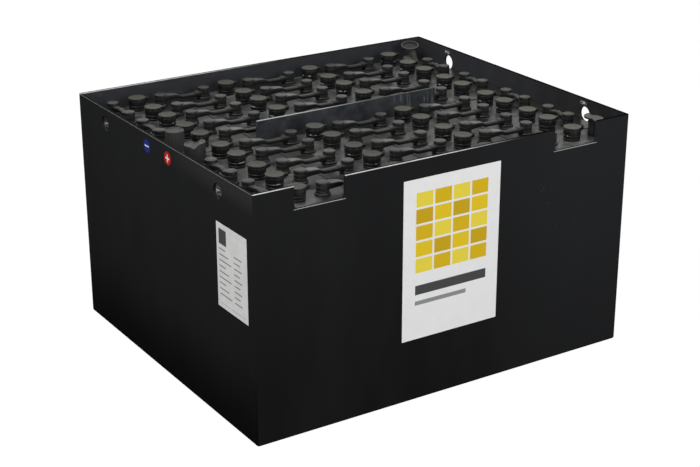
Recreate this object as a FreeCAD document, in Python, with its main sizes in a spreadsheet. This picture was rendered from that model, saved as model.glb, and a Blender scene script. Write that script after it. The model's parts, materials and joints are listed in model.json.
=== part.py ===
"""Forklift traction battery: forty lead-acid cells in a plastic-coated steel tray.

Frame: +Z up, origin under the middle of the tray's base. X runs along the long front wall,
Y runs away from it. Four columns of cells lie along X and ten rows along Y, five rows on each
side of a partition. All lengths are millimetres.
"""
import FreeCAD, Part
import os
import re
import Sketcher

VEC = FreeCAD.Vector
COLUMNS = 4
ROWS_IN_HALF = 5
ROWS = 2 * ROWS_IN_HALF
GRIP_SIDES = 12
CORNER_TURN = -33
CAP_TILT = 13
HAIR = 1e-6

SIZES = {
    # Tray: folded and welded sheet, coated inside and out, made to measure for its cells
    "wall": 6,
    "floor_thick": 6,
    "head_space": 41,
    "column_end_gap": 1.05,
    "row_end_gap": 2.6,
    "upright_radius": 5,
    "base_radius": 4,
    # Cable notches in the front wall
    "notch_width": 100,
    "notch_radius": 10,
    "notch_from_end": 129,
    # Lifting holes in the two short walls
    "lift_radius": 15,
    "lift_drop": 30,
    "lift_from_corner": 119.5,
    # Partition between the two halves of the battery
    "partition_thick": 5,
    "partition_clearance": 1.2,
    "partition_end_clearance": 0.5,
    "partition_step_drop": 44,
    "partition_crest_spare": 4.4,
    # Cells
    "jar_length": 198,
    "jar_width": 65,
    "jar_height": 415,
    "jar_inset": 0.8,
    "lid_flange": 10,
    "lid_chamfer": 1.5,
    "column_gap": 1.3,
    "row_gap": 1.3,
    "pole_spacing": 103,
    "pole_line_offset": 3,
    # Vent plugs with flip-top lids
    "plug_radius": 15.6,
    "plug_height": 21.2,
    "flip_radius": 17,
    "flip_thick": 4,
    "flip_gap": 0.3,
    "hinge_reach": 26,
    "hinge_width": 10,
    "hinge_depth": 7,
    "thumb_reach": 18.5,
    "thumb_width": 8,
    "thumb_thick": 2,
    # Moulded links between neighbouring cells
    "head_radius": 11.7,
    "head_height": 23.5,
    "foot_radius": 11.5,
    "skirt_radius": 14,
    "skirt_height": 4,
    "tongue_length": 37,
    "tongue_width": 22.5,
    "tongue_tip_width": 14,
    "tongue_rise": 23,
    "tongue_tip_rise": 19.5,
    "tongue_thick": 13,
    "lead_width": 12,
    "lead_thick": 9,
    "lead_rise": 15,
    "lead_drop": 8,
    "sleeve_length": 21,
    "sleeve_width": 14,
    "sleeve_thick": 12,
    "sleeve_rise": 17.5,
    "end_link_rise": 21.5,
    # Foot of the leaning post
    "post_foot_height": 11,
    # Terminal hoods on the two end cells
    "minus_hood_radius": 17.5,
    "plus_hood_radius": 19.5,
    "hood_height": 39,
    "hood_rim": 3,
    "hood_dish": 2.5,
    "hood_flap_drop": 5,
    "hood_dip_drop": 8,
    "hood_flap_end": 5.8,
    "hood_wedge_start": 11.7,
    # Capped posts where the two halves are linked
    "post_height": 38,
    "stem_radius": 10,
    "stem_foot_radius": 7,
    "post_lean": 17,
    "cap_radius": 18.5,
    "cap_thick": 4,
    "cap_bend": 5,
    "cap_bend_reach": 7.4,
    "ring_radius": 19,
    "ring_shift": 3.7,
    "ring_rim": 3,
    "ring_lip": 3,
    "knob_radius": 2.5,
    # Stickers
    "label_thick": 0.3,
    "front_label_width": 210,
    "front_label_height": 305,
    "front_label_drop": 35,
    "front_label_shift": 2,
    "data_label_width": 105,
    "data_label_height": 156,
    "data_label_drop": 84,
    "data_label_from_corner": 22,
    "disc_radius": 12.5,
    "disc_drop": 24,
    "plus_disc_shift": 0.2,
    "minus_disc_shift": 3.9,
}

# Lengths worked out from the sizes above
DERIVED = {
    "pitch_x": "(jar_length + column_gap)",
    "pitch_y": "(jar_width + row_gap)",
    "first_row_y": "(partition_thick / 2 + partition_clearance + jar_width / 2)",
    "cell_top": "(floor_thick + jar_height)",
    "row_link_span": "(pitch_x - pole_spacing)",
    "wide_span": "(pitch_y + 2 * pole_line_offset)",
    "narrow_span": "(pitch_y - 2 * pole_line_offset)",
    "flip_base": "(plug_height + flip_gap)",
    "inner_length": f"({COLUMNS} * pitch_x - column_gap + 2 * column_end_gap)",
    "half_width": f"({ROWS_IN_HALF} * pitch_y - row_gap + row_end_gap + partition_clearance)",
    "inner_width": "(2 * half_width + partition_thick)",
    "tray_length": "(inner_length + 2 * wall)",
    "tray_width": "(inner_width + 2 * wall)",
    "tray_height": "(cell_top + head_space)",
    "lift_spacing": "(tray_width - 2 * lift_from_corner)",
    "partition_crest": "(2 * pitch_x + partition_crest_spare)",
    "partition_step": "(tray_height - partition_step_drop)",
}


# Expressions over the sheet

def ex(text):
    """Turns a length written with size names into an expression over the sheet."""
    text = str(text)

    def swap(match):
        word = match.group()
        if word in DERIVED:
            return ex(DERIVED[word])
        return "sizes." + word if word in SIZES else word

    return re.sub(r"[a-z][a-z_]*", swap, text)


def value(doc, text):
    """The number that a length written with size names comes to."""
    return float(doc.getObject("sizes").evalExpression(ex(text)))


def make_sheet(doc):
    """Writes every driving size into the sheet, each under its own alias."""
    sheet = doc.addObject("Spreadsheet::Sheet", "sizes")
    for line, (alias, size) in enumerate(SIZES.items(), start=1):
        sheet.set(f"A{line}", alias)
        sheet.set(f"B{line}", str(size))
        sheet.setAlias(f"B{line}", alias)
    doc.recompute()


def bind(item, **lengths):
    """Binds properties of an object to lengths written with size names."""
    for prop, text in lengths.items():
        item.setExpression(prop, ex(text))


def place(item, x="0", y="0", z="0"):
    """Binds an object's position to three lengths."""
    for axis, text in zip("xyz", (x, y, z)):
        item.setExpression("Placement.Base." + axis, ex(text))


# Positions of cells, vents and poles

def column_x(column):
    """Middle of a column, counted from the left short wall."""
    steps = column - (COLUMNS + 1) / 2
    return f"({steps} * pitch_x)"


def row_y(row):
    """Middle of a row, counted from the front wall."""
    if row <= ROWS_IN_HALF:
        return f"(-first_row_y - {ROWS_IN_HALF - row} * pitch_y)"
    return f"(first_row_y + {row - ROWS_IN_HALF - 1} * pitch_y)"


def pole_y(row):
    """Line of poles and vent in a row: the cells of every other row are turned round."""
    sign = "-" if row % 2 else "+"
    return f"({row_y(row)} {sign} pole_line_offset)"


def pole_x(column, side):
    """Pole of a cell on its left (-1) or right (+1) side."""
    return f"({column_x(column)} + {side} * pole_spacing / 2)"


# Sketches and features

def new_body(doc, name):
    body = doc.addObject("PartDesign::Body", name)
    body.Label = name
    return body


def new_sketch(body, plane, lift="0"):
    """A sketch on one of the body's own planes, lifted along its normal."""
    sketch = body.newObject("Sketcher::SketchObject", body.Name + "_sketch")
    origin = next(f for f in body.Origin.OriginFeatures if f.Role == plane)
    sketch.AttachmentSupport = [(origin, "")]
    sketch.MapMode = "FlatFace"
    sketch.setExpression("AttachmentOffset.Base.z", ex(lift))
    return sketch


def fix_point(doc, sketch, line, end, x, y):
    """Holds one end of a line, or a circle's centre, at two lengths from the origin."""
    for kind, text in (("DistanceX", x), ("DistanceY", y)):
        size = value(doc, text)
        index = sketch.addConstraint(Sketcher.Constraint(kind, -1, 1, line, end, size))
        sketch.setExpression(f"Constraints[{index}]", ex(text))


def draw_outline(doc, sketch, corners):
    """A closed outline of straight lines through corners given as pairs of lengths."""
    points = [VEC(value(doc, x), value(doc, y), 0) for x, y in corners]
    first = sketch.GeometryCount
    for start, end in zip(points, points[1:] + points[:1]):
        sketch.addGeometry(Part.LineSegment(start, end), False)
    for step, (x, y) in enumerate(corners):
        after = first + (step + 1) % len(corners)
        sketch.addConstraint(Sketcher.Constraint("Coincident", first + step, 2, after, 1))
        fix_point(doc, sketch, first + step, 1, x, y)


def draw_box(doc, sketch, left, right, low, high):
    draw_outline(doc, sketch, [(left, low), (right, low), (right, high), (left, high)])


def draw_middle_box(doc, sketch, width, depth):
    draw_box(doc, sketch, f"-{width} / 2", f"{width} / 2", f"-{depth} / 2", f"{depth} / 2")


def draw_circle(doc, sketch, x, y, radius):
    centre = VEC(value(doc, x), value(doc, y), 0)
    circle = Part.Circle(centre, VEC(0, 0, 1), value(doc, radius))
    line = sketch.addGeometry(circle, False)
    index = sketch.addConstraint(Sketcher.Constraint("Radius", line, circle.Radius))
    sketch.setExpression(f"Constraints[{index}]", ex(radius))
    fix_point(doc, sketch, line, 3, x, y)


def pad(body, sketch, length, both_ways=False, backwards=False):
    feature = body.newObject("PartDesign::Pad", body.Name + "_pad")
    feature.Profile = sketch
    feature.Midplane = both_ways
    feature.Reversed = backwards
    bind(feature, Length=length)
    return feature


def pocket(body, sketch, length, both_ways=False):
    """Cuts a sketch into the body and makes sure that something was cut."""
    doc = body.Document
    doc.recompute()
    before = body.Shape.Volume
    feature = body.newObject("PartDesign::Pocket", body.Name + "_pocket")
    feature.Profile = sketch
    feature.Midplane = both_ways
    bind(feature, Length=length)
    doc.recompute()
    if not body.Shape.Volume < before:
        raise RuntimeError(f"{feature.Label} cuts nothing")
    return feature


def edges_where(feature, test):
    """Names of a feature's straight edges that pass a test on their two ends."""
    names = []
    for number, edge in enumerate(feature.Shape.Edges, start=1):
        if len(edge.Vertexes) == 2 and test(edge.Vertexes[0].Point, edge.Vertexes[1].Point):
            names.append(f"Edge{number}")
    return names


def dress(body, kind, base, edges, prop, size):
    """A fillet or chamfer on named edges of the feature before it."""
    feature = body.newObject("PartDesign::" + kind, body.Name + "_" + kind.lower())
    feature.Base = (base, edges)
    bind(feature, **{prop: size})
    return feature


def clone(doc, master, name, x, y, z="0"):
    """A further piece of the master's form, at its own place."""
    body = new_body(doc, name)
    body.BaseFeature = master
    place(body, x, y, z)
    return body


def group(doc, name, pieces):
    """Like pieces held under one name, each still a solid of its own."""
    held = doc.addObject("Part::Compound", name)
    held.Label = name
    held.Links = pieces
    return held


def fused(doc, name, pieces):
    joined = doc.addObject("Part::MultiFuse", name)
    joined.Label = name
    joined.Shapes = pieces
    joined.Refine = True
    return joined


def grip_prism(doc, name, radius, height, x="0", y="0"):
    """An upright moulding with flats all round for the fingers."""
    prism = doc.addObject("Part::Prism", name)
    prism.Polygon = GRIP_SIDES
    bind(prism, Circumradius=radius, Height=height)
    place(prism, x, y)
    return prism


def box(doc, name, length, width, height, x, y, z):
    block = doc.addObject("Part::Box", name)
    bind(block, Length=length, Width=width, Height=height)
    place(block, x, y, z)
    return block


# Tray and partition

def tray(doc):
    """Open steel box with two cable notches in front and lifting holes at both ends."""
    body = new_body(doc, "tray")
    outer = new_sketch(body, "XY_Plane")
    draw_middle_box(doc, outer, "tray_length", "tray_width")
    block = pad(body, outer, "tray_height")
    doc.recompute()
    upright = edges_where(block, lambda a, b: abs(a.z - b.z) > 1)
    corners = dress(body, "Fillet", block, upright, "Radius", "upright_radius")
    doc.recompute()
    lowest = edges_where(corners, lambda a, b: max(a.z, b.z) < HAIR)
    dress(body, "Fillet", corners, lowest, "Radius", "base_radius")

    inside = new_sketch(body, "XY_Plane", "tray_height")
    draw_middle_box(doc, inside, "inner_length", "inner_width")
    pocket(body, inside, "tray_height - floor_thick")

    holes = new_sketch(body, "YZ_Plane")
    for side in ("-", ""):
        draw_circle(doc, holes, f"{side}lift_spacing / 2", "tray_height - lift_drop", "lift_radius")
    pocket(body, holes, "2 * tray_length", both_ways=True)
    cut_notches(doc, body)
    return body


def cut_notches(doc, body):
    """Two openings with rounded bottom corners in the top edge of the front wall."""
    sketch = new_sketch(body, "XZ_Plane", "tray_width / 2 + wall")
    floor = "cell_top"
    for side in (-1, 1):
        middle = f"{side} * (tray_length / 2 - notch_from_end)"
        left, right = f"{middle} - notch_width / 2", f"{middle} + notch_width / 2"
        draw_box(doc, sketch, left, right, floor, "tray_height + wall")
    cut = pocket(body, sketch, "2.5 * wall")
    low = value(doc, floor)
    corner = edges_where(cut, lambda a, b: abs(a.z - low) < HAIR and abs(b.z - low) < HAIR
                         and abs(a.x - b.x) < HAIR)
    dress(body, "Fillet", cut, corner, "Radius", "notch_radius")


def partition_plate(doc):
    """Coated steel plate between the halves: low at its ends, where links and cables pass."""
    body = new_body(doc, "partition_plate")
    sketch = new_sketch(body, "XZ_Plane")
    end = "(inner_length / 2 - partition_end_clearance)"
    crest = "partition_crest / 2"
    draw_outline(doc, sketch, [
        (f"-{end}", "floor_thick"), (end, "floor_thick"),
        (end, "partition_step"), (crest, "partition_step"),
        (crest, "tray_height"), (f"-{crest}", "tray_height"),
        (f"-{crest}", "partition_step"), (f"-{end}", "partition_step"),
    ])
    pad(body, sketch, "partition_thick", both_ways=True)
    return body


# Cells

def jar_master(doc):
    """Cell jar with its lid welded on: the lid's flange stands a little proud of the jar."""
    body = new_body(doc, "jar_master")
    walls = new_sketch(body, "XY_Plane")
    draw_middle_box(doc, walls, "(jar_length - 2 * jar_inset)", "(jar_width - 2 * jar_inset)")
    pad(body, walls, "jar_height - lid_flange")
    lid = new_sketch(body, "XY_Plane", "jar_height - lid_flange")
    draw_middle_box(doc, lid, "jar_length", "jar_width")
    flange = pad(body, lid, "lid_flange")
    doc.recompute()
    top = value(doc, "jar_height")
    rim = edges_where(flange, lambda a, b: min(a.z, b.z) > top - HAIR)
    dress(body, "Chamfer", flange, rim, "Size", "lid_chamfer")
    return body


def cell_jars(doc, name, rows):
    """The jars of one half of the battery."""
    master = doc.getObject("jar_master") or jar_master(doc)
    jars = [clone(doc, master, f"jar_{row}_{column}", column_x(column), row_y(row), "floor_thick")
            for row in rows for column in range(1, COLUMNS + 1)]
    return group(doc, name, jars)


def vent_plugs(doc):
    """Bayonet plugs in the cell lids, each with a hinge block towards the right pole."""
    grip = grip_prism(doc, "plug_grip", "plug_radius", "plug_height")
    hinge = box(doc, "plug_hinge", "hinge_reach - plug_radius / 2", "hinge_width", "hinge_depth",
                "plug_radius / 2", "-hinge_width / 2", "plug_height - hinge_depth")
    master = fused(doc, "plug_master", [grip, hinge])
    plugs = [clone(doc, master, f"plug_{row}_{column}", column_x(column), pole_y(row), "cell_top")
             for row in range(1, ROWS + 1) for column in range(1, COLUMNS + 1)]
    return group(doc, "vent_plugs", plugs)


def flip_master(doc):
    """Round flip-top lid with its hinge strap on one side and its thumb tab on the other."""
    body = new_body(doc, "flip_master")
    disc = new_sketch(body, "XY_Plane", "flip_base")
    draw_circle(doc, disc, "0", "0", "flip_radius")
    pad(body, disc, "flip_thick")
    strap = new_sketch(body, "XY_Plane", "flip_base")
    draw_box(doc, strap, "0", "hinge_reach", "-hinge_width / 2", "hinge_width / 2")
    pad(body, strap, "flip_thick")
    tab = new_sketch(body, "XY_Plane", "flip_base")
    draw_box(doc, tab, "-thumb_reach", "0", "-thumb_width / 2", "thumb_width / 2")
    pad(body, tab, "thumb_thick")
    return body


def vent_lids(doc):
    """One flip-top lid on each plug."""
    master = flip_master(doc)
    return [clone(doc, master, f"vent_lid_row{row:02d}_column{column}",
                  column_x(column), pole_y(row), "cell_top")
            for row in range(1, ROWS + 1) for column in range(1, COLUMNS + 1)]


# Links between cells

def pole_moulding(doc, name, radius, x="0", y="0"):
    """Moulding round one pole: a tall head on a wider skirt that seals it to the cell lid."""
    head = grip_prism(doc, name, radius, "head_height", x, y)
    skirt = doc.addObject("Part::Cylinder", name + "_skirt")
    bind(skirt, Radius="skirt_radius", Height="skirt_height")
    place(skirt, x, y)
    return [head, skirt]


def link_arm(doc, name, plane, outline, plan):
    """Insulated lead between two poles: its side outline cut to the outline seen from above."""
    side = new_body(doc, name + "_side")
    sketch = new_sketch(side, plane)
    draw_outline(doc, sketch, outline)
    pad(side, sketch, "2 * head_radius", both_ways=True)
    above = new_body(doc, name + "_above")
    sketch = new_sketch(above, "XY_Plane")
    draw_outline(doc, sketch, plan)
    pad(above, sketch, "head_height")
    arm = doc.addObject("Part::MultiCommon", name)
    arm.Shapes = [side, above]
    return arm


def row_link_master(doc):
    """Link to the next cell in its row: a broad tongue, a dipping lead and a short sleeve."""
    sleeve = "(row_link_span - sleeve_length)"
    dip = "(tongue_length + lead_drop)"
    outline = [
        ("0", "tongue_rise - tongue_thick"), ("tongue_length", "tongue_tip_rise - lead_thick"),
        (dip, "lead_rise - lead_thick"), (sleeve, "lead_rise - lead_thick"),
        ("row_link_span", "sleeve_rise - sleeve_thick"), ("row_link_span", "sleeve_rise"),
        (sleeve, "sleeve_rise"), (f"{sleeve} - lead_drop / 2", "lead_rise"), (dip, "lead_rise"),
        ("tongue_length", "tongue_tip_rise"), ("0", "tongue_rise"),
    ]
    half = [("0", "tongue_width / 2"), ("tongue_length", "tongue_tip_width / 2"),
            (dip, "lead_width / 2"), (sleeve, "lead_width / 2"), (sleeve, "sleeve_width / 2"),
            ("row_link_span", "sleeve_width / 2")]
    plan = [(x, f"-{y}") for x, y in half] + half[::-1]
    arm = link_arm(doc, "row_link_arm", "XZ_Plane", outline, plan)
    near = pole_moulding(doc, "row_link_head", "head_radius")
    far = pole_moulding(doc, "row_link_foot", "foot_radius", "row_link_span")
    return fused(doc, "row_link_master", [arm] + near + far)


def row_links(doc):
    """Links along the rows, from each cell's right pole to the next cell's left pole."""
    master = row_link_master(doc)
    links = [clone(doc, master, f"row_link_{row}_{column}", pole_x(column, 1), pole_y(row),
                   "cell_top")
             for row in range(1, ROWS + 1) for column in range(1, COLUMNS)]
    return group(doc, "row_links", links)


def end_link_master(doc, name, span):
    """Link between the end cells of two neighbouring rows, arched a little in its middle."""
    middle, end = f"({span} / 2)", "sleeve_rise"
    outline = [("0", f"{end} - lead_thick"), (span, f"{end} - lead_thick"), (span, end),
               (middle, "end_link_rise"), ("0", end)]
    reach = "sleeve_length"
    half = [("0", "sleeve_width / 2"), (reach, "sleeve_width / 2"), (reach, "lead_width / 2"),
            (f"{span} - {reach}", "lead_width / 2"), (f"{span} - {reach}", "sleeve_width / 2"),
            (span, "sleeve_width / 2")]
    plan = [(y, x) for x, y in half] + [(f"-{y}", x) for x, y in half[::-1]]
    arm = link_arm(doc, name + "_arm", "YZ_Plane", outline, plan)
    near = pole_moulding(doc, name + "_near_head", "foot_radius")
    far = pole_moulding(doc, name + "_far_head", "foot_radius", "0", span)
    return fused(doc, name, [arm] + near + far)


def end_links(doc, name, span, x, rows):
    """Links at one end of the rows, each from the row given to the row behind it."""
    master = end_link_master(doc, name + "_master", span)
    links = [clone(doc, master, f"{name}_{row}", x, pole_y(row), "cell_top") for row in rows]
    return group(doc, name, links)


# Terminal hoods and link posts

def cut_round(doc, name, radius, outline):
    """A round moulding whose top follows a side outline, seen along its own Y axis."""
    body = new_body(doc, name + "_side")
    sketch = new_sketch(body, "XZ_Plane")
    draw_outline(doc, sketch, outline)
    pad(body, sketch, f"2 * ({radius} + hood_rim)", both_ways=True)
    round_block = doc.addObject("Part::Cylinder", name + "_round")
    bind(round_block, Radius=radius, Height="2 * hood_height")
    moulding = doc.addObject("Part::MultiCommon", name)
    moulding.Label = name
    moulding.Shapes = [body, round_block]
    return moulding


def stand_on_pole(item, column, side, row):
    """Stands an object on a pole, turned so that its side outline faces the front corner."""
    item.Placement = FreeCAD.Placement(VEC(), FreeCAD.Rotation(VEC(0, 0, 1), CORNER_TURN))
    place(item, pole_x(column, side), pole_y(row), "cell_top")
    return item


def negative_terminal_hood(doc):
    """Straight rubber boot with a low dish in its top."""
    body = new_body(doc, "negative_terminal_hood")
    round_base = new_sketch(body, "XY_Plane")
    draw_circle(doc, round_base, "0", "0", "minus_hood_radius")
    pad(body, round_base, "hood_height")
    dish = new_sketch(body, "XY_Plane", "hood_height")
    draw_circle(doc, dish, "0", "0", "minus_hood_radius - hood_rim")
    pocket(body, dish, "hood_dish")
    return stand_on_pole(body, 1, -1, ROWS_IN_HALF + 1)


def positive_terminal_hood(doc):
    """Rubber boot whose flap has sprung open: low at one side, a dip, then a rising wedge."""
    reach = "(plus_hood_radius + hood_rim)"
    low, dip = "(hood_height - hood_flap_drop)", "(hood_height - hood_dip_drop)"
    outline = [
        (f"-{reach}", "0"), (reach, "0"), (reach, "hood_height"),
        ("hood_wedge_start", "hood_height"), ("0", dip),
        ("-hood_flap_end", low), (f"-{reach}", low),
    ]
    hood = cut_round(doc, "positive_terminal_hood", "plus_hood_radius", outline)
    return stand_on_pole(hood, 1, -1, ROWS_IN_HALF)


def front_link_post(doc):
    """Insulated post with a flat cap, one side of the cap bent upwards."""
    low, reach = "(post_height - cap_bend)", "(cap_radius + cap_thick)"
    top = [(reach, low), ("0", low), ("-cap_bend_reach", "post_height"),
           (f"-{reach}", "post_height")]
    under = [(x, f"{z} - cap_thick") for x, z in reversed(top)]
    cap = cut_round(doc, "front_post_cap", "cap_radius", under + top)
    stem = doc.addObject("Part::Cylinder", "front_post_stem")
    bind(stem, Radius="stem_radius", Height=f"{low} - cap_thick / 2")
    return stand_on_pole(fused(doc, "front_link_post", [stem, cap]), COLUMNS, 1, 1)


def ringed_cap(doc):
    """Round cap with a raised rim and a small knob in the middle."""
    body = new_body(doc, "rear_post_cap")
    sketch = new_sketch(body, "XZ_Plane")
    draw_outline(doc, sketch, [
        ("0", "-cap_thick"), ("ring_radius - cap_thick", "-cap_thick"), ("ring_radius", "0"),
        ("ring_radius", "ring_lip"), ("ring_radius - ring_rim", "ring_lip"),
        ("ring_radius - ring_rim", "0"), ("knob_radius", "0"), ("knob_radius", "ring_lip / 2"),
        ("0", "ring_lip / 2"),
    ])
    turned = body.newObject("PartDesign::Revolution", "rear_post_cap_turned")
    turned.Profile = sketch
    turned.ReferenceAxis = (sketch, ["V_Axis"])
    turned.Angle = 360
    body.Placement = FreeCAD.Placement(VEC(), FreeCAD.Rotation(VEC(1, 0, 0), CAP_TILT))
    place(body, "ring_shift", "0", "post_height - ring_lip")
    return body


def rear_link_post(doc):
    """Ringed cap on a stem that leans: its foot stands beside the pole, towards the wall."""
    cap = ringed_cap(doc)
    stem = doc.addObject("Part::Cone", "rear_post_stem")
    lean = "atan((post_lean - ring_shift) / (post_height - cap_thick))"
    bind(stem, Radius1="stem_foot_radius", Radius2="stem_radius",
         Height="(post_height - cap_thick - ring_lip)")
    stem.Placement = FreeCAD.Placement(VEC(), FreeCAD.Rotation(VEC(0, -1, 0), 1))
    stem.setExpression("Placement.Rotation.Angle", ex(lean))
    place(stem, "post_lean")
    foot = doc.addObject("Part::Cylinder", "rear_post_foot")
    bind(foot, Radius="head_radius", Height="post_foot_height")
    span, half = "2 * post_height", "-post_height"
    level = box(doc, "below_rear_post", span, span, "post_height", half, half, half)
    whole = fused(doc, "rear_post_whole", [foot, stem, cap])
    cut = doc.addObject("Part::Cut", "rear_link_post")
    cut.Label = "rear_link_post"
    cut.Base, cut.Tool = whole, level
    return stand_on_pole(cut, COLUMNS, 1, ROWS)


# Stickers

def front_label(doc):
    """Large sticker in the middle of the front wall."""
    return box(doc, "front_label", "front_label_width", "label_thick", "front_label_height",
               "-front_label_width / 2 - front_label_shift", "-tray_width / 2 - label_thick",
               "tray_height - front_label_drop - front_label_height")


def data_label(doc):
    """Small sticker near the front edge of the left wall."""
    return box(doc, "data_label", "label_thick", "data_label_width", "data_label_height",
               "-tray_length / 2 - label_thick", "-tray_width / 2 + data_label_from_corner",
               "tray_height - data_label_drop - data_label_height")


def polarity_disc(doc, name, row, shift):
    """Round sticker under the rim, beside the terminal it belongs to."""
    disc = doc.addObject("Part::Cylinder", name)
    disc.Label = name
    bind(disc, Radius="disc_radius", Height="label_thick")
    disc.Placement = FreeCAD.Placement(VEC(), FreeCAD.Rotation(VEC(0, 1, 0), -90))
    place(disc, "-tray_length / 2", f"{pole_y(row)} {shift}", "tray_height - disc_drop")
    return disc


# Assembly and files

def end_link_groups(doc):
    """Short links at the right ends of the rows and long ones at the left ends."""
    return [
        end_links(doc, "right_end_links", "narrow_span", pole_x(COLUMNS, 1), (2, 4, 6, 8)),
        end_links(doc, "left_end_links", "wide_span", pole_x(1, -1), (1, 3, 7, 9)),
    ]


def assemble(doc):
    front_rows = range(1, ROWS_IN_HALF + 1)
    rear_rows = range(ROWS_IN_HALF + 1, ROWS + 1)
    return [
        tray(doc), partition_plate(doc),
        cell_jars(doc, "cells_of_positive_half", front_rows),
        cell_jars(doc, "cells_of_negative_half", rear_rows),
        vent_plugs(doc), row_links(doc), *end_link_groups(doc),
        positive_terminal_hood(doc), negative_terminal_hood(doc),
        front_link_post(doc), rear_link_post(doc),
        front_label(doc), data_label(doc),
        polarity_disc(doc, "positive_disc", ROWS_IN_HALF, "- plus_disc_shift"),
        polarity_disc(doc, "negative_disc", ROWS_IN_HALF + 1, "+ minus_disc_shift"),
        *vent_lids(doc),
    ]


def check(doc, pieces):
    """Stops when an object failed to build or a piece has no sound shape."""
    for item in doc.Objects:
        if "Invalid" in item.State or "Error" in item.State:
            raise RuntimeError(f"{item.Label} did not build: {item.State}")
    for piece in pieces:
        if piece.Shape.isNull() or not piece.Shape.isValid():
            raise RuntimeError(f"{piece.Label} has no sound shape")


def write(pieces):
    os.makedirs("parts", exist_ok=True)
    for piece in pieces:
        piece.Shape.exportStep(f"parts/{piece.Label}.step")
        print(f"{piece.Label}: {len(piece.Shape.Solids)} solids, "
              f"{piece.Shape.Volume / 1000:.1f} cm3")


def main():
    doc = FreeCAD.newDocument("traction_battery")
    make_sheet(doc)
    pieces = assemble(doc)
    doc.recompute()
    check(doc, pieces)
    write(pieces)


main()
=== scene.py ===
import bpy, json, math
from mathutils import Matrix, Vector


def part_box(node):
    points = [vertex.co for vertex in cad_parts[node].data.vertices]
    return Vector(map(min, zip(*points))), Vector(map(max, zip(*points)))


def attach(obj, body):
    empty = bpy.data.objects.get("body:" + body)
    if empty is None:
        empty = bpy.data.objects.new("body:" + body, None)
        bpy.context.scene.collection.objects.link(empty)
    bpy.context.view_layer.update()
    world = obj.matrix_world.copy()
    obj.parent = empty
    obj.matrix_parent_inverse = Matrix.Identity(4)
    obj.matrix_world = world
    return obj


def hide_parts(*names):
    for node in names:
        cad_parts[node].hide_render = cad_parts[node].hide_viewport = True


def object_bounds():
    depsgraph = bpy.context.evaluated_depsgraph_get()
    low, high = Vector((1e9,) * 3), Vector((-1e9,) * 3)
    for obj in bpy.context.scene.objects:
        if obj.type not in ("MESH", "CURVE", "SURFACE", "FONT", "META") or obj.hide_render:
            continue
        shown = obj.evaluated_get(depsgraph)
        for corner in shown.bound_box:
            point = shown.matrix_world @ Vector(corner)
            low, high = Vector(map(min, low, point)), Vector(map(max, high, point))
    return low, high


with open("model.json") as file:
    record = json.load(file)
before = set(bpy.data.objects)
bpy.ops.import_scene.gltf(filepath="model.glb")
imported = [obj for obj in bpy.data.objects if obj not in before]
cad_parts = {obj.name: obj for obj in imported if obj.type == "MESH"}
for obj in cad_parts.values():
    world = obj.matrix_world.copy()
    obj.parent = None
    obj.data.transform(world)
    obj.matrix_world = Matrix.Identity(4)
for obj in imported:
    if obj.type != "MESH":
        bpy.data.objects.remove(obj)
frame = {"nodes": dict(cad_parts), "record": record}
cad_low, cad_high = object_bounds()


# TRAY. An open box folded and welded from steel sheet, then dipped in a thick black plastic
# coat with a faint orange peel. Painted highlights run along parts of the rim, and the coat
# is scuffed above the lifting holes on the right, where hooks have touched it.

class Tone:
    """A shader socket used like a number: each operator adds the Math node that does it."""

    def __init__(self, finish, socket):
        self.finish, self.socket = finish, socket

    def maths(self, operation, other=0.0):
        """Any operation of the Math node on this socket and another, or a number."""
        inputs = {0: self, 1: other}
        return self.finish.add("ShaderNodeMath", {"operation": operation}, inputs)

    def __add__(self, other):
        return self.maths("ADD", other)

    def __sub__(self, other):
        return self.maths("SUBTRACT", other)

    def __rsub__(self, other):
        return self.maths("MULTIPLY", -1.0).maths("ADD", other)

    def __mul__(self, other):
        return self.maths("MULTIPLY", other)

    def __gt__(self, other):
        return self.maths("GREATER_THAN", other)

    def __lt__(self, other):
        return self.maths("LESS_THAN", other)

    def __abs__(self):
        return self.maths("ABSOLUTE")

    def max(self, other):
        return self.maths("MAXIMUM", other)

    def step(self, start, end):
        """Rises softly from 0 at start to 1 at end."""
        ramp = {"interpolation_type": "SMOOTHSTEP"}
        return self.finish.add("ShaderNodeMapRange", ramp, {0: self, 1: start, 2: end})

    __radd__, __rmul__ = __add__, __mul__


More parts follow.
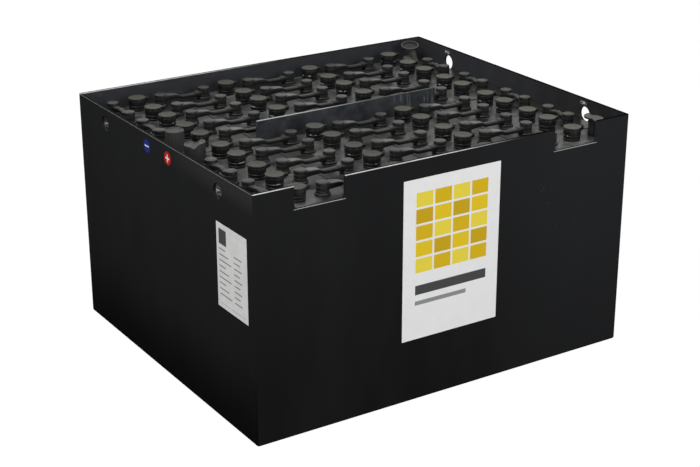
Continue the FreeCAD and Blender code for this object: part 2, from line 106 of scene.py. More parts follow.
class Finish:
    """The surface of one kind of piece: a Principled shader and the nodes that vary it."""

    def __init__(self, name, **even):
        self.material = bpy.data.materials.new(name)
        self.material.use_nodes = True
        self.tree = self.material.node_tree
        self.tree.nodes.clear()
        self.surface = self.tree.nodes.new("ShaderNodeBsdfPrincipled")
        out = self.tree.nodes.new("ShaderNodeOutputMaterial")
        self.tree.links.new(self.surface.outputs[0], out.inputs[0])
        for socket, value in even.items():
            self.surface.inputs[socket.replace("_", " ")].default_value = value

    def plug(self, socket, value):
        """Links a Tone to a socket or writes a plain value on it; None leaves it alone."""
        if isinstance(value, Tone):
            self.tree.links.new(value.socket, socket)
        elif value is not None:
            socket.default_value = value

    def add(self, kind, settings=None, inputs=None, out=0):
        """Any node: its settings first, then what its sockets hold; gives one output."""
        node = self.tree.nodes.new(kind)
        for name, value in (settings or {}).items():
            setattr(node, name, value)
        for name, value in (inputs or {}).items():
            self.plug(node.inputs[name], value)
        return Tone(self, node.outputs[out])

    def place(self):
        """Where on the battery a point lies, in metres of the battery's own frame."""
        return self.add("ShaderNodeTexCoord", out="Object")

    def axes(self):
        """The same place as three Tones: along, across and up."""
        spot = {0: self.place()}
        return [self.add("ShaderNodeSeparateXYZ", None, spot, out=axis) for axis in range(3)]

    def facing_up(self):
        """1 on surfaces that face up, where dust settles, 0 on upright ones."""
        normal = {0: self.add("ShaderNodeTexCoord", out="Normal")}
        return self.add("ShaderNodeSeparateXYZ", None, normal, out=2).step(0.35, 0.95)

    def cloud(self, scale, detail=3.0, roughness=0.55, stretch=(1, 1, 1)):
        """Soft noise around 0.5, with so many patches to the metre."""
        spot = self.add("ShaderNodeVectorMath", {"operation": "MULTIPLY"},
                        {0: self.place(), 1: stretch})
        return self.add("ShaderNodeTexNoise", None, {"Vector": spot, "Scale": scale,
                        "Detail": detail, "Roughness": roughness})

    def mix(self, mask, below, above):
        """One colour where the mask is 0 and the other where it is 1."""
        return self.add("ShaderNodeMix", {"data_type": "RGBA"},
                        {0: mask, 6: below, 7: above}, out=2)

    def wear(self, colour=None, roughness=None, height=None, depth=0.0005, coat=None):
        """Plugs in what varies: colour, roughness, gloss coat, and a bump of so many metres."""
        self.plug(self.surface.inputs["Base Color"], colour)
        self.plug(self.surface.inputs["Roughness"], roughness)
        self.plug(self.surface.inputs["Coat Weight"], coat)
        if height is not None:
            bump = {"Height": height, "Distance": depth, "Strength": 1.0}
            self.plug(self.surface.inputs["Normal"], self.add("ShaderNodeBump", None, bump))
        return self.material


def shade(red, green, blue):
    """A colour as a painter reads it off a chart, 0 to 255, turned into light."""
    curve = [(c / 255 / 12.92 if c < 11 else ((c / 255 + 0.055) / 1.055) ** 2.4)
             for c in (red, green, blue)]
    return (*curve, 1.0)


def paint(node, material):
    """Gives a CAD node its finish."""
    slots = frame["nodes"][node].data.materials
    slots.clear()
    slots.append(material)


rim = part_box("tray")[1].z
cell_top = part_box("cells_of_positive_half")[1].z
lifting_holes = [m["pos_m"] for m in frame["record"]["mounts"] if m["kind"] == "bore"]
left_holes, right_holes = lifting_holes[:2], lifting_holes[2:]
half_length, half_width = cad_high.x, cad_high.y
notch_middle, notch_half = half_length - 0.129, 0.051
within_wall, hair = 0.005, 0.0003
coat = Finish("black_plastic_coat", Specular_IOR_Level=0.0, Coat_Roughness=0.16)
x, y, z = coat.axes()
peel = coat.cloud(900, 2.0)
streaks = coat.cloud(9, 4.0, 0.6, (1, 1, 0.25))
inside = (abs(x) < half_length - within_wall) * (abs(y) < half_width - within_wall)
inside = inside * (z < rim - hair)
chips = coat.cloud(60, 4.0, 0.7)
# Painted highlights: thin light lines along the rim's outer edges and the notch floors, where
# rounded edges would catch the light.
front_edge = (y < 0.0020 - half_width) * x.step(0.17, -0.04) * 0.85
left_edge = (x < 0.0005 - half_length) * z.step(rim - 0.0006, rim - 0.0001) * 0.3
rear_edge = abs(y - (half_width - 0.0052)).step(0.0016, 0.0012) * x.step(0.08, -0.2) * 0.8
edge_highlights = front_edge.max(left_edge).max(rear_edge)
edge_highlights = edge_highlights * z.step(rim - 0.0012, rim - 0.0005) * (0.7 + chips.step(0.36, 0.62) * 0.3)
ledge = abs(z - cell_top).step(0.0008, 0.0003) * (y < 0.0016 - half_width)
ledge = ledge * (abs(abs(x) - notch_middle) < notch_half)
edge_highlights = edge_highlights.max(ledge * 0.45)
top_face = (z > rim - hair) * x.step(-0.1, 0.2)
scuffs, scuff_aside, scuff_above = 0.0, 0.004, 0.0215
for _, hole_y, hole_z in right_holes:
    along = abs(y - (hole_y + scuff_aside)).step(0.011, 0.004)
    scuffs = along * abs(z - (hole_z + scuff_above)).step(0.0040, 0.0016) + scuffs
scuffs = scuffs * (x > half_length - 0.009) * coat.cloud(330, 2.0, 0.6).step(0.47, 0.54)
# Painted light: the coat is painted lighter toward the right and toward the top, where the lamps
# fall on it.
light_gradient = x.step(-0.05, 0.3) * 0.55 + z.step(0.05, 0.46) * 0.45
base = coat.mix(streaks.step(0.35, 0.7), shade(25, 25, 25), shade(30, 30, 30))
base = coat.mix(light_gradient, base, shade(41, 42, 44))
# Painted shade: the left wall is painted darker toward its foot.
base = coat.mix((x < 0.002 - half_length) * z.step(0.17, 0.0) * 0.9, base, shade(9, 9, 9))
# Painted light on the inner faces of the walls, which catch the lamps more than the outside does.
base = coat.mix(inside, base, coat.mix(chips, shade(52, 53, 56), shade(60, 61, 65)))
# Painted shade: the rim's top face is painted darker toward the right.
base = coat.mix(top_face, base, shade(16, 16, 16))
# Painted sheen: a lighter band high on the left wall toward the front.
upper_front_sheen = (x < 0.001 - half_length) * y.step(0.05, -0.2) * z.step(rim - 0.045, rim - 0.008)
base = coat.mix(upper_front_sheen * 0.35, base, shade(66, 66, 66))
knocks = coat.cloud(150, 2.0, 0.6).step(0.62, 0.70) * coat.cloud(22, 1.0).step(0.5, 0.6)
knocks = knocks * abs(x - 0.27).step(0.10, 0.05) * abs(z - 0.32).step(0.06, 0.03) * (y < 0)
base = coat.mix(knocks * 0.3, base, shade(120, 122, 124))
# Less of that painted light on the right wall's inner face toward the front.
base = coat.mix(inside * (x > half_length - 0.008) * y.step(0.15, -0.3), base, shade(44, 44, 45))
base = coat.mix(edge_highlights, base, shade(245, 245, 246))
base = coat.mix(scuffs, base, shade(215, 215, 212))
coat.wear(base, 0.42 + streaks * 0.14, peel + streaks * 0.6, 0.00006,
          inside * 0.7 + (z < rim - hair) * 0.04)
paint("tray", coat.material)


# PARTITION. A steel plate with the same coat, stood between the two halves of the battery. It
# is dusty and blue-grey, with a painted highlight along its upper edge on the left, and its
# right end is scored.

plate = Finish("dusty_partition_coat", Specular_IOR_Level=0.03, Coat_Roughness=0.2)
x, y, z = plate.axes()
dust = plate.cloud(26, 5.0, 0.65)
scores = plate.cloud(120, 2.0, 0.5, (1.0, 1.0, 0.04)).step(0.56, 0.66)
scored = scores * x.step(0.05, 0.16) * plate.cloud(30, 3.0).step(0.42, 0.56)
base = plate.mix(dust.step(0.3, 0.75), shade(42, 44, 48), shade(68, 71, 75))
base = plate.mix(scored * 0.8, base, shade(132, 138, 142))
plate_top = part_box("partition_plate")[1].z
# Painted highlight along the plate's upper edge on the left.
crest_highlight = z.step(plate_top - 0.0011, plate_top - 0.0004) * x.step(0.08, -0.14) * (y < 0.0) * 0.6
base = plate.mix(crest_highlight, base, shade(235, 236, 237))
plate.wear(base, 0.12 + dust * 0.2, dust + scores * 0.3, 0.00004, z < plate_top - hair)
paint("partition_plate", plate.material)


# CELLS. Forty jars of moulded polypropylene, each with its lid welded on, packed tight. The
# lids are painted light round the plugs for the white they reflect, and dark with painted
# shade under the links and near the end walls.

jar = Finish("wiped_polypropylene", Specular_IOR_Level=0.25)
grime = jar.cloud(30, 5.0, 0.6)
x, y, z = jar.axes()
cell_length, hinge_reach, lid_depth = 0.198, 0.026, 0.004
first_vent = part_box("vent_lid_row01_column1")[1].x - hinge_reach
across = (x - first_vent + cell_length / 2).maths("MODULO", cell_length)
drift = (jar.cloud(14, 3.0, 0.6) - 0.5) * 0.16
# Painted light and shade: lids light round the plugs, dark under the links and within a few
# centimetres of the end walls.
lit_round_plugs = abs(across - cell_length / 2 + drift).step(0.060, 0.034)
lit_round_plugs = lit_round_plugs * abs(x).step(half_length - 0.03, half_length - 0.05)
base = jar.mix(grime.step(0.35, 0.75), shade(56, 56, 56), shade(104, 104, 102))
base = jar.mix(lit_round_plugs, jar.mix(grime, shade(18, 18, 17), shade(46, 46, 44)), base)
# Painted shade on the lids where the view through each left lifting hole falls, with two painted
# glints in it.
hole_shade_in, hole_shade_back, hole_shade_edge, hole_shade_middle = 0.018, 0.034, 0.055, 0.045
gleam_out, gleam_apart = 0.0045, 0.0022
for hole_x, hole_y, _ in left_holes:
    aside, behind = x - (hole_x + hole_shade_in), y - (hole_y + hole_shade_back)
    hole_shade = (aside * aside + behind * behind).step(hole_shade_edge ** 2, hole_shade_middle ** 2)
    gleam = abs(abs(aside + gleam_out) - gleam_apart).step(0.0013, 0.0007)
    gleam = gleam * abs(behind).step(0.007, 0.003)
    base = jar.mix(hole_shade, base, shade(11, 11, 11))
    base = jar.mix(gleam, base, shade(250, 250, 250))
base = jar.mix(z > cell_top - lid_depth, shade(14, 14, 14), base)
jar.wear(base, 0.30 + grime.step(0.35, 0.8) * 0.16, grime + jar.cloud(260) * 0.1, 0.00004)
paint("cells_of_positive_half", jar.material)
paint("cells_of_negative_half", jar.material)


# VENT PLUGS. Injection-moulded bayonet plugs, turned into the cell lids by hand: a foot ring,
# a waist, a collar, and a fluted grip that ends in a hinge block for the flip-top lid.

class Moulding:
    """Points and faces of one or many like pieces, gathered into one mesh."""

    def __init__(self):
        self.points, self.faces = [], []

    def loft(self, rings):
        """A skin through rings of points, all of one length, closed at both ends."""
        start, count = len(self.points), len(rings[0])
        self.points += [Vector(point) for ring in rings for point in ring]
        for level in range(len(rings) - 1):
            low = start + level * count
            for here in range(count):
                ahead = (here + 1) % count
                self.faces.append((low + here, low + ahead, low + count + ahead,
                                   low + count + here))
        last = start + (len(rings) - 1) * count
        self.faces.append(tuple(range(start + count - 1, start - 1, -1)))
        self.faces.append(tuple(range(last, last + count)))

    def turn(self, profile, sides, flutes=None):
        """A round form from pairs of radius and height; flutes gives each angle's radius."""
        angles = [2 * math.pi * side / sides for side in range(sides)]
        grow = flutes or (lambda angle, height: 1.0)
        self.loft([[(r * grow(a, h) * math.cos(a), r * grow(a, h) * math.sin(a), h)
                    for a in angles] for r, h in profile])

    def block(self, low, high, round_off):
        """A box with rounded edges between two corners."""
        (x0, y0, z0), (x1, y1, z1), r = low, high, round_off
        rings = []
        for inset, level in ((r, z0), (0, z0 + r), (0, z1 - r), (r, z1)):
            a, b, c, d, q = x0 + inset, x1 - inset, y0 + inset, y1 - inset, r
            rings.append([(v[0], v[1], level) for v in (
                (a + q, c), (b - q, c), (b, c + q), (b, d - q),
                (b - q, d), (a + q, d), (a, d - q), (a, c + q))])
        self.loft(rings)

    def take(self, form):
        """Adds another form to this one."""
        start = len(self.points)
        self.points += form.points
        self.faces += [tuple(p + start for p in face) for face in form.faces]
        return self

    def repeated(self, places):
        """The same form again at each place."""
        many, count = Moulding(), len(self.points)
        for number, spot in enumerate(places):
            move = spot if isinstance(spot, Matrix) else Matrix.Translation(spot)
            many.points += [move @ point for point in self.points]
            many.faces += [tuple(p + number * count for p in face) for face in self.faces]
        return many

    def piece(self, name, body, node, material, crease=0.6):
        """The finished piece, in its finish, riding a body in place of its CAD node."""
        mesh = bpy.data.meshes.new(name)
        mesh.from_pydata([tuple(p) for p in self.points], [], self.faces)
        mesh.polygons.foreach_set("use_smooth", [True] * len(mesh.polygons))
        mesh.set_sharp_from_angle(angle=crease)
        mesh.materials.append(material)
        made = bpy.data.objects.new(name, mesh)
        bpy.context.scene.collection.objects.link(made)
        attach(made, body)
        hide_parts(node)


rows, columns = range(1, 11), range(1, 5)
vents = {}
for row in rows:
    for column in columns:
        low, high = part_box(f"vent_lid_row{row:02d}_column{column}")
        vents[row, column] = Vector((high.x - hinge_reach, (low.y + high.y) / 2, cell_top))


def grip_flutes(angle, height, flutes=12, depth=0.03, grip_foot=0.0130, grip_top=0.0200):
    """Finger flutes, only along the grip."""
    if grip_foot < height < grip_top:
        return 1 - depth * max(0.0, math.cos(flutes * angle)) ** 2
    return 1.0


plug = Moulding()
plug.turn([(0.0154, 0), (0.0158, 0.0008), (0.0158, 0.0034), (0.0150, 0.0042), (0.0150, 0.0056),
           (0.0160, 0.0064), (0.0163, 0.0096), (0.0155, 0.0104), (0.0155, 0.0114),
           (0.0163, 0.0122), (0.0165, 0.0195), (0.0162, 0.0206), (0.0156, 0.0212)],
          72, grip_flutes)
plug.block((0.0120, -0.0042, 0.0145), (0.0205, 0.0042, 0.0209), 0.0008)
plug.block((0.0195, -0.0030, 0.0160), (0.0259, 0.0030, 0.0206), 0.0008)
black = Finish("black_plug_plastic", Specular_IOR_Level=0.3)
mottle = black.cloud(240, 3.0)
glints = black.cloud(90, 1.0).step(0.62, 0.66)
collar_height = 0.0110
collar = abs(black.axes()[2] - (cell_top + collar_height)).step(0.0012, 0.0004)
base = black.mix(mottle.step(0.35, 0.7), shade(10, 10, 11), shade(19, 19, 19))
base = black.mix(collar * glints, base, shade(190, 190, 190))
black.wear(base, 0.28 + mottle * 0.3, mottle, 0.00008)
plug.repeated(vents.values()).piece("fluted_vent_plugs", "battery", "vent_plugs",
                                    black.material)


# VENT LIDS. Flip-top lids moulded in one with a flat strap that ends in a hinge barrel, and
# with a thumb tab on the other side. Years of dust have turned their tops olive grey.

lid = Moulding()
lid.turn([(0.0155, 0.0216), (0.0164, 0.0215), (0.0170, 0.0221), (0.0170, 0.0246),
          (0.0167, 0.0253), (0.0160, 0.0255), (0.0150, 0.0254), (0.0145, 0.0250),
          (0.0040, 0.0250), (0.0034, 0.0247)], 48)
strap_end, barrel_height, top_edge = 0.0246, 0.0225, 0.0244
lid.block((0.0150, -0.0038, 0.0213), (strap_end, 0.0038, 0.0226), 0.0005)
barrel = Moulding()
barrel.turn([(0.0010, -0.0040), (0.0013, -0.0037), (0.0013, 0.0037), (0.0010, 0.0040)], 16)
lay_down = Matrix.Rotation(math.pi / 2, 4, "X")
lay_down = Matrix.Translation((strap_end, 0, barrel_height)) @ lay_down
lid.take(barrel.repeated([lay_down]))
lid.block((-0.0184, -0.0039, 0.0216), (-0.0155, 0.0039, 0.0234), 0.0006)
dusty = Finish("dusty_lid_plastic", Specular_IOR_Level=0.35)
dust = dusty.cloud(150, 5.0, 0.65)
tint = dusty.cloud(7, 2.0)
up = dusty.facing_up()
settled = up * (0.72 + dust.step(0.3, 0.7) * 0.28)
olive = dusty.mix(tint.step(0.35, 0.65), shade(62, 63, 55), shade(74, 74, 67))
olive = dusty.mix(dusty.axes()[0].step(-0.1, 0.35) * 0.8, olive, shade(90, 89, 80))
level = (dusty.axes()[2] > cell_top + top_edge).max(0.08)
base = dusty.mix(settled * level, shade(17, 17, 16), olive)
dusty.wear(base, 0.38 + up * 0.3, dust, 0.00012)
for (row, column), spot in vents.items():
    tag = f"row{row:02d}_column{column}"
    lid.repeated([spot]).piece(f"flip_lid_{tag}", f"lid_{tag}", f"vent_lid_{tag}",
                               dusty.material)


# CELL LINKS. Flexible copper leads moulded into rubber between two round heads, each bolted
# down on a lead pole. The lead leaves one head as a thick wedge, dips, and swells again into
# the sleeve of the other head.

def head(radius):
    """Profile of a head on its skirt, with two pinched rings and a cap pressed into the top."""
    return [(0.0139, 0), (0.0140, 0.0006), (0.0140, 0.0030), (0.0134, 0.0038),
            (radius + 0.0004, 0.0041), (radius, 0.0052), (radius, 0.0078),
            (radius - 0.0006, 0.0084), (radius, 0.0090), (radius, 0.0150),
            (radius - 0.0008, 0.0157), (radius, 0.0164), (radius, 0.0222),
            (radius - 0.0003, 0.0230), (radius - 0.0011, 0.0235), (radius - 0.0026, 0.0235),
            (radius - 0.0030, 0.0232), (radius - 0.0034, 0.0234), (0.0030, 0.0235)]


def lead_ring(along, width, thick, top, square):
    """One upright section of the lead, a rounded oblong across it."""
    ring, sides = [], 20
    for step in range(sides):
        angle = 2 * math.pi * (step + 0.5) / sides
        across = math.copysign(abs(math.cos(angle)) ** square, math.cos(angle))
        rise = math.copysign(abs(math.sin(angle)) ** square, math.sin(angle))
        ring.append((along, across * width / 2, top - thick / 2 + rise * thick / 2))
    return ring


def link(span, near, far, stations):
    """Two heads a span apart and the lead between them, along X."""
    first, last, lead = Moulding(), Moulding(), Moulding()
    first.turn(head(near), 48)
    last.turn(head(far), 48)
    lead.loft([lead_ring(*station) for station in stations])
    return first.take(last.repeated([(span, 0, 0)])).take(lead)


pole_spacing = 0.103
pole_reach = pole_spacing / 2
column_step = vents[1, 2].x - vents[1, 1].x
row_span = column_step - 2 * pole_reach
row_link = link(row_span, 0.0116, 0.0114, [
    (0.0020, 0.0216, 0.0120, 0.0218, 0.25), (0.0120, 0.0200, 0.0114, 0.0214, 0.25),
    (0.0240, 0.0172, 0.0104, 0.0206, 0.28), (0.0320, 0.0150, 0.0092, 0.0196, 0.32),
    (0.0366, 0.0132, 0.0080, 0.0184, 0.4), (0.0390, 0.0116, 0.0074, 0.0170, 0.5),
    (0.0450, 0.0110, 0.0082, 0.0150, 0.6), (0.0560, 0.0108, 0.0080, 0.0146, 0.6),
    (0.0690, 0.0108, 0.0080, 0.0147, 0.6), (0.0745, 0.0114, 0.0084, 0.0151, 0.6),
    (0.0755, 0.0136, 0.0104, 0.0163, 0.5), (0.0800, 0.0139, 0.0114, 0.0171, 0.5),
    (0.0930, 0.0139, 0.0116, 0.0174, 0.5)])


def link_rubber(name, first_head=None, head_top=0.0225, back=0.02):
    """Black rubber under dust, with a painted highlight on the wedge that leaves the large head.
    """
    rubber = Finish(name, Specular_IOR_Level=0.35)
    dust = rubber.cloud(120, 5.0, 0.65)
    patches = rubber.cloud(16, 3.0, 0.6).step(0.4, 0.62)
    settled = rubber.facing_up() * (0.35 + patches * 0.65) * (0.5 + dust.step(0.3, 0.7) * 0.5)
    settled = settled * (rubber.axes()[2] > cell_top + head_top).max(0.55)
    base = rubber.mix(settled, shade(19, 19, 19), shade(70, 70, 64))
    if first_head is not None:
        # Painted highlight on the top of the wedge that leaves the large head, mottled with dust.
        along = (rubber.axes()[0] - first_head + back).maths("MODULO", column_step)
        tongue_highlight = along.step(0.032, 0.034) * along.step(0.060, 0.055)
        pale = rubber.mix(patches, shade(60, 60, 58), shade(100, 100, 97))
        base = rubber.mix(tongue_highlight * rubber.facing_up(), base, pale)
    rubber.wear(base, 0.3 + dust * 0.3, dust, 0.0002)
    return rubber.material


rubber = link_rubber("dusty_row_link_rubber", vents[1, 1].x + pole_reach)
places = [vents[row, column] + Vector((pole_reach, 0, 0))
          for row in rows for column in columns[:-1]]
row_link.repeated(places).piece("row_link_mouldings", "battery", "row_links", rubber)

rubber = link_rubber("dusty_end_link_rubber")
sleeve = [(0.003, 0.0138, 0.0088, 0.0176, 0.5), (0.0206, 0.0138, 0.0094, 0.0190, 0.5),
          (0.0214, 0.0112, 0.0084, 0.0186, 0.6)]
turn_away = Matrix.Rotation(math.pi / 2, 4, "Z")
for name, side, column, starts in (("right", 1, 4, (2, 4, 6, 8)), ("left", -1, 1, (1, 3, 7, 9))):
    span = vents[starts[0] + 1, column].y - vents[starts[0], column].y
    stations = sleeve + [(span / 2, 0.0112, 0.0086, 0.0212, 0.6)]
    stations += [(span - along, *size) for along, *size in sleeve[::-1]]
    places = [Matrix.Translation(vents[row, column] + Vector((side * pole_reach, 0, 0)))
              @ turn_away for row in starts]
    link(span, 0.0114, 0.0114, stations).repeated(places).piece(
        f"{name}_end_link_mouldings", "battery", f"{name}_end_links", rubber)


# TERMINAL HOODS. Soft rubber boots over the two end poles. The negative one is straight and
# ribbed, with a dished top. On the positive one the flap has sprung open: low on the left, a
# dip in the middle, and a wedge that rises to the right.

def hood(radius, height, top, ribs, rib_depth):
    """A round boot whose top follows a line seen from the front corner."""
    form, sides = Moulding(), 96
    angles = [2 * math.pi * side / sides for side in range(sides)]

    def edge(angle, reach):
        return 1 - rib_depth * (0.5 + 0.5 * math.cos(ribs * angle)) * (reach > 0.999)

    rings = [[(radius * math.cos(a) * edge(a, 1), radius * math.sin(a) * edge(a, 1), 0)
              for a in angles]]
    for reach, drop in ((1, 0.0012), (0.985, 0.0004), (0.95, 0), (0.86, 0), (0.82, 0.0012),
                        (0.6, 0.0015), (0.4, 0.0015), (0.2, 0.0015), (0.02, 0.0015)):
        rings.append([(radius * reach * math.cos(a) * edge(a, reach),
                       radius * reach * math.sin(a) * edge(a, reach),
                       top(reach * math.cos(a)) - drop) for a in angles])
    form.loft(rings)
    return form


def sprung_top(side):
    """Height of the open flap across the boot, from -1 at its left to 1 at its right."""
    stops = [(-1.2, 0.034), (-0.35, 0.034), (0.0, 0.031), (0.6, 0.0388), (1.2, 0.0388)]
    for (x0, z0), (x1, z1) in zip(stops, stops[1:]):
        if side <= x1:
            share = (side - x0) / (x1 - x0)
            return z0 + (z1 - z0) * share * share * (3 - 2 * share)
    return stops[-1][1]


boot = Finish("aged_boot_rubber", Specular_IOR_Level=0.35)
dust = boot.cloud(130, 5.0, 0.65)
settled = boot.facing_up() * (0.45 + dust.step(0.3, 0.7) * 0.4)
straight_boot = boot.axes()[1].step(0, 0.002)
body = boot.mix(straight_boot, shade(32, 32, 32), shade(50, 50, 49))
base = boot.mix(settled * (1 - straight_boot * 0.7), body, shade(82, 82, 76))
boot.wear(base, 0.45 + dust * 0.25, dust, 0.0002)
turn_to_corner = Matrix.Rotation(math.radians(-33), 4, "Z")
for name, row, radius, top, ribs, depth in (
        ("negative", 6, 0.0175, lambda side: 0.0388, 18, 0.025),
        ("positive", 5, 0.0195, sprung_top, 16, 0.006)):
    spot = vents[row, 1] - Vector((pole_reach, 0, 0))
    hood(radius, 0.039, top, ribs, depth).repeated(
        [Matrix.Translation(spot) @ turn_to_corner]).piece(
        f"{name}_hood_boot", "battery", f"{name}_terminal_hood", boot.material)


# LINK POSTS. Where a jumper joins the two halves, each end pole carries a tall insulated post
# with a cap. The front cap is bent up on one side; the rear post leans and has a ringed cap.

post = Finish("weathered_post_plastic", Specular_IOR_Level=0.35)
dust = post.cloud(110, 5.0, 0.65)
settled = post.facing_up() * (0.6 + dust.step(0.3, 0.7) * 0.4)
base = post.mix(settled, shade(14, 14, 14), shade(84, 81, 74))
x, y, z = post.axes()
rear_pole = vents[10, 4] + Vector((pole_reach, 0, 0))
cap_aside, cap_before, well_edge, well_middle = 0.0031, 0.0020, 0.0164, 0.0156
rear_part, cap_base, well_base = 0.2, 0.0315, 0.0320
aside, behind = x - (rear_pole.x + cap_aside), y - (rear_pole.y - cap_before)
well = (aside * aside + behind * behind).step(well_edge ** 2, well_middle ** 2)
base = post.mix((y > rear_part) * (z < cell_top + cap_base), base, shade(86, 85, 80))
# Painted shade: the floor of the rear cap's well is painted dark.
base = post.mix(well * (z > cell_top + well_base), base, shade(26, 26, 24))
post.wear(base, 0.45 + dust * 0.25, dust, 0.0002)


def bent_cap(radius, thick, low, high, bend_end=0.4):
    """A round cap, level on the right and bent up on the left."""
    form, sides = Moulding(), 64
    rings = []
    for reach, drop in ((0.02, thick), (0.5, thick), (0.96, thick), (1.0, thick - 0.0006),
                        (1.0, 0.0006), (0.97, 0), (0.9, 0.0003), (0.5, 0.0006), (0.02, 0.0006)):
        ring = []
        for side in range(sides):
            a = 2 * math.pi * side / sides
            share = min(1, max(0, -reach * math.cos(a) / bend_end))
            rise = low + (high - low) * share * share * (3 - 2 * share)
            ring.append((radius * reach * math.cos(a), radius * reach * math.sin(a), rise - drop))
        rings.append(ring)
    form.loft(rings)
    return form


stem = Moulding()
stem.turn([(0.0100, 0), (0.0100, 0.012), (0.0094, 0.014), (0.0098, 0.030)], 40)
front_cap = bent_cap(0.0184, 0.0038, 0.033, 0.0378)
spot = Matrix.Translation(vents[1, 4] + Vector((pole_reach, 0, 0))) @ turn_to_corner
stem.take(front_cap).repeated([spot]).piece("front_post_and_cap", "battery",
                                            "front_link_post", post.material)

foot = Moulding()
foot.turn([(0.0114, 0), (0.0114, 0.0098), (0.0106, 0.0108), (0.0020, 0.0108)], 40)
base_shift, top_shift, rise, sides = 0.017, 0.0037, 0.031, 32
angles = [2 * math.pi * side / sides for side in range(sides)]
leaning = Moulding()
leaning.loft([[(base_shift + (top_shift - base_shift) * t + r * math.cos(a), r * math.sin(a),
                rise * t) for a in angles]
              for t, r in ((0, 0.0070), (0.3, 0.0068), (0.35, 0.0074), (1, 0.0095))])
ring_cap = Moulding()
ring_cap.turn([(0.0150, -0.0039), (0.0188, -0.0004), (0.0190, 0.0026), (0.0185, 0.0030),
               (0.0165, 0.0030), (0.0161, 0.0024), (0.0159, 0.0001), (0.0030, 0.0001),
               (0.0025, 0.0010), (0.0018, 0.0015)], 48)
tilt = Matrix.Translation((top_shift, 0, 0.035)) @ Matrix.Rotation(math.radians(13), 4, "X")
spot = Matrix.Translation(rear_pole) @ turn_to_corner
foot.take(leaning).take(ring_cap.repeated([tilt])).repeated([spot]).piece(
    "rear_post_and_ring_cap", "battery", "rear_link_post", post.material)


# STICKERS. Printed vinyl pressed on to the coat: a large one on the front wall, a data field
# on the left wall, and a red and a blue disc with plain polarity signs under the rim. What the
# large one shows is a plain stack of cells in yellow tones above two grey bars.

def field(along, up, low, high, soft=0.0004):
    """1 inside an upright oblong on a sticker, given its corners."""
    return (along.step(low[0] - soft, low[0] + soft) * along.step(high[0] + soft, high[0] - soft)
            * up.step(low[1] - soft, low[1] + soft) * up.step(high[1] + soft, high[1] - soft))


def print_fields(finish, along, up, base, fields):
    """The colour of the vinyl with each field printed over it in turn."""
    for low, high, colour in fields:
        base = finish.mix(field(along, up, low, high), base, colour)
    return base


low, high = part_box("front_label")
label = Finish("printed_front_vinyl", Specular_IOR_Level=0.3)
x, y, z = label.axes()
across, up = x - (low.x + high.x) / 2, z - low.z
grain = label.cloud(35, 4.0)
cells, margin, wide, tall = [], 0.078, 0.036, 0.027
yellows = [shade(250, 228, 70), shade(244, 210, 24), shade(230, 192, 6), shade(214, 176, 4)]
for level in range(5):
    for place in range(4):
        left, base_line = -margin + place * 0.040, 0.128 + level * 0.031
        tone = yellows[(level + 2 * place) % 4]
        cells.append(((left, base_line), (left + wide, base_line + tall), tone))
bars = [((-margin, 0.086), (margin, 0.104), shade(70, 71, 73)),
        ((-margin, 0.066), (0.034, 0.074), shade(150, 151, 152))]
base = label.mix(grain.step(0.3, 0.7), shade(254, 254, 254), shade(250, 250, 250))
label.wear(print_fields(label, across, up, base, cells + bars), 0.42 + grain * 0.08,
           grain, 0.00004)
paint("front_label", label.material)

low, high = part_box("data_label")
data = Finish("printed_data_vinyl", Specular_IOR_Level=0.3)
x, y, z = data.axes()
along, up = high.y - y, z - low.z
grain = data.cloud(60, 4.0)
margin, second_column, thick, ink = 0.008, 0.060, 0.0022, shade(120, 120, 121)
lines = [((margin, 0.118), (0.034, 0.146), shade(60, 60, 60))]
for step in range(9):
    height = 0.108 - step * 0.0105
    lines.append(((margin, height), (0.030 + 0.010 * (step % 3), height + thick), ink))
    lines.append(((second_column, height), (0.086 - 0.006 * (step % 2), height + thick), ink))
lines.append(((margin, 0.008), (0.097, 0.0086), shade(90, 90, 90)))
base = data.mix(grain.step(0.3, 0.7), shade(228, 228, 227), shade(218, 218, 217))
data.wear(print_fields(data, along, up, base, lines), 0.45 + grain * 0.08, grain, 0.00004)
paint("data_label", data.material)

for name, tone, strokes in (
        ("positive", shade(190, 8, 6), ((0.0072, 0.0017), (0.0017, 0.0072))),
        ("negative", shade(14, 36, 128), ((0.0080, 0.0013),))):
    low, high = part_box(f"{name}_disc")
    disc = Finish(f"{name}_disc_vinyl", Specular_IOR_Level=0.06)
    x, y, z = disc.axes()
    along, up = y - (low.y + high.y) / 2, z - (low.z + high.z) / 2
    scratch = disc.cloud(400, 3.0)
    base = disc.mix(scratch.step(0.4, 0.8) * 0.12, tone, shade(110, 110, 110))
    marks = [((-wide, -tall), (wide, tall), shade(232, 232, 230)) for wide, tall in strokes]
    disc.wear(print_fields(disc, along, up, base, marks), 0.4 + scratch * 0.1, scratch, 0.00004)
    paint(f"{name}_disc", disc.material)


# STUDIO. A white floor that runs out of sight, a white room round it, a soft lamp high on the
# left, a wide fill from the front, and the camera where the photograph was taken from.

far, paper_white = 9, 1.07
floor_mesh = bpy.data.meshes.new("studio_floor")
corners = [(-far, -far, 0), (far, -far, 0), (far, far, 0), (-far, far, 0)]
floor_mesh.from_pydata(corners, [], [(0, 1, 2, 3)])
floor = bpy.data.objects.new("studio_floor", floor_mesh)
bpy.context.scene.collection.objects.link(floor)
paper = Finish("white_floor_paper", Roughness=0.9, Specular_IOR_Level=0.1)
speck = paper.cloud(3, 2.0)
paper.wear(paper.mix(speck, shade(160, 160, 160), shade(165, 165, 165)), 0.9)
seen = paper.add("ShaderNodeLightPath", out="Is Camera Ray")
glow = paper.add("ShaderNodeEmission", None, {"Color": (1, 1, 1, 1), "Strength": paper_white})
lit = Tone(paper, paper.surface.outputs[0])
rays = paper.add("ShaderNodeMixShader", None, {0: seen * 0.93, 1: lit, 2: glow})
paper.plug(paper.tree.nodes["Material Output"].inputs[0], rays)
floor_mesh.materials.append(paper.material)

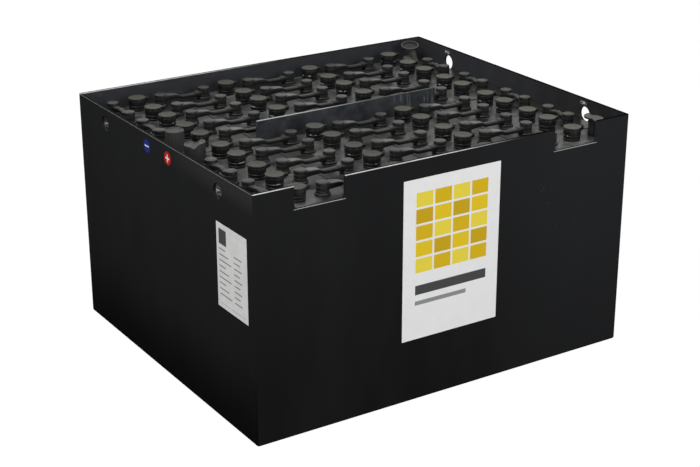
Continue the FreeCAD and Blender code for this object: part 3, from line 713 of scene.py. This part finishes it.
world = bpy.data.worlds.new("soft_studio")
bpy.context.scene.world = world
world.use_nodes = True
tree = world.node_tree
tree.nodes.clear()
light_path = tree.nodes.new("ShaderNodeLightPath")
room = tree.nodes.new("ShaderNodeBackground")
room.inputs[0].default_value, room.inputs[1].default_value = (1, 1, 1, 1), 0.55
white = tree.nodes.new("ShaderNodeBackground")
white.inputs[0].default_value, white.inputs[1].default_value = (1, 1, 1, 1), 1.0
either = tree.nodes.new("ShaderNodeMath")
either.operation = "MAXIMUM"
tree.links.new(light_path.outputs["Is Camera Ray"], either.inputs[0])
tree.links.new(light_path.outputs["Is Glossy Ray"], either.inputs[1])
choose = tree.nodes.new("ShaderNodeMixShader")
tree.links.new(either.outputs[0], choose.inputs[0])
tree.links.new(room.outputs[0], choose.inputs[1])
tree.links.new(white.outputs[0], choose.inputs[2])
world_out = tree.nodes.new("ShaderNodeOutputWorld")
tree.links.new(choose.outputs[0], world_out.inputs[0])


def lamp(name, where, power, size):
    """A square soft lamp aimed at the middle of the battery."""
    light = bpy.data.lights.new(name, "AREA")
    light.energy, light.shape, light.size = power, "SQUARE", size
    stand = bpy.data.objects.new(name, light)
    stand.location = where
    aim = Vector((0, 0, 0.25)) - Vector(where)
    stand.rotation_euler = aim.to_track_quat("-Z", "Y").to_euler()
    bpy.context.scene.collection.objects.link(stand)


lamp("high_left_softbox", (-1.6, -0.6, 2.6), 40, 1.4)
lamp("front_fill", (0.6, -3.0, 1.6), 26, 1.8)

turn, tip = math.radians(-32.81), math.radians(21.62)
distance, shift_right, shift_down = 3.1167, 0.0033, 0.0333
back = Vector((math.sin(turn) * math.cos(tip), -math.cos(turn) * math.cos(tip), math.sin(tip)))
right = Vector((math.cos(turn), math.sin(turn), 0))
above = back.cross(right)
lens = bpy.data.cameras.new("camera")
lens.sensor_width, lens.lens = 36, 81.7
camera = bpy.data.objects.new("camera", lens)
middle = Vector((0, 0, rim / 2))
camera.location = middle + right * shift_right - above * shift_down + back * distance
camera.rotation_mode = "QUATERNION"
camera.rotation_quaternion = back.to_track_quat("Z", "Y")
bpy.context.scene.collection.objects.link(camera)
bpy.context.scene.camera = camera
bpy.context.scene.view_settings.view_transform = "Standard"
